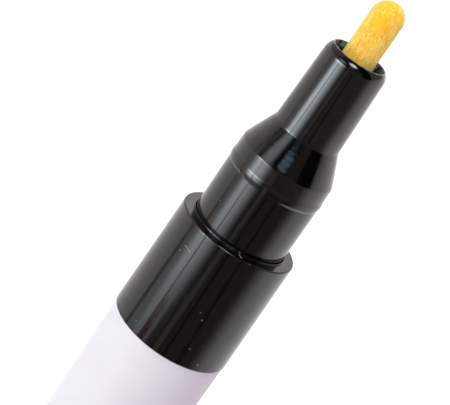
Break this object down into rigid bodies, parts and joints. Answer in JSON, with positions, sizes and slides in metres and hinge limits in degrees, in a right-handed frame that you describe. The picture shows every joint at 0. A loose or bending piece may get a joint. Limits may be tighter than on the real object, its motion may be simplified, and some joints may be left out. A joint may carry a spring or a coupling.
{
  "type": "paint marker",
  "caption": "Uncapped valve-action paint marker: bullet fibre nib in a ribbed black nose, black collar and white barrel, with a sprung valve and mixing balls inside.",
  "frame": {"origin": "centre of the tail's flat face, which the marker stands on", "axes": "+Z along the marker's axis from the tail to the nib; X and Y across it"},
  "size_m": [0.0156, 0.0156, 0.1383],
  "materials": {
    "nib_fibre": "matte",
    "black_gloss": "gloss",
    "white_lacquer": "gloss",
    "soft_seal": "matte",
    "natural_plastic": "satin",
    "spring_steel": "satin",
    "ball_steel": "polished"
  },
  "bodies": {
    "barrel_unit": {"barrel": "white_lacquer", "collar": "black_gloss", "nose": "black_gloss", "nose_gasket": "soft_seal", "valve_body": "natural_plastic", "spring_retainer": "natural_plastic", "valve_spring": "spring_steel", "tail_plug": "black_gloss"},
    "nib": {"nib": "nib_fibre"},
    "valve_poppet": {"valve_stem": "natural_plastic", "valve_seal": "soft_seal"},
    "ball_1": {"mixing_ball_1": "ball_steel"},
    "ball_2": {"mixing_ball_2": "ball_steel"}
  },
  "joints": [
    {"name": "nib_press", "type": "slide", "parent": "barrel_unit", "child": "nib", "axis": [0, 0, -1], "range_m": [0, 0.0022]},
    {"name": "valve_lift", "type": "slide", "parent": "barrel_unit", "child": "valve_poppet", "axis": [0, 0, -1], "range_m": [0, 0.0022], "stiffness_N_per_m": 700, "springref_m": -0.003, "deforming": ["valve_spring"]},
    {"name": "ball_1_travel", "type": "slide", "parent": "barrel_unit", "child": "ball_1", "axis": [0, 0, 1], "range_m": [0, 0.0767]},
    {"name": "ball_2_travel", "type": "slide", "parent": "barrel_unit", "child": "ball_2", "axis": [0, 0, 1], "range_m": [0, 0.0767]}
  ],
  "couplings": [
    {"joint": "valve_lift", "follows": "nib_press", "ratio": 1}
  ]
}
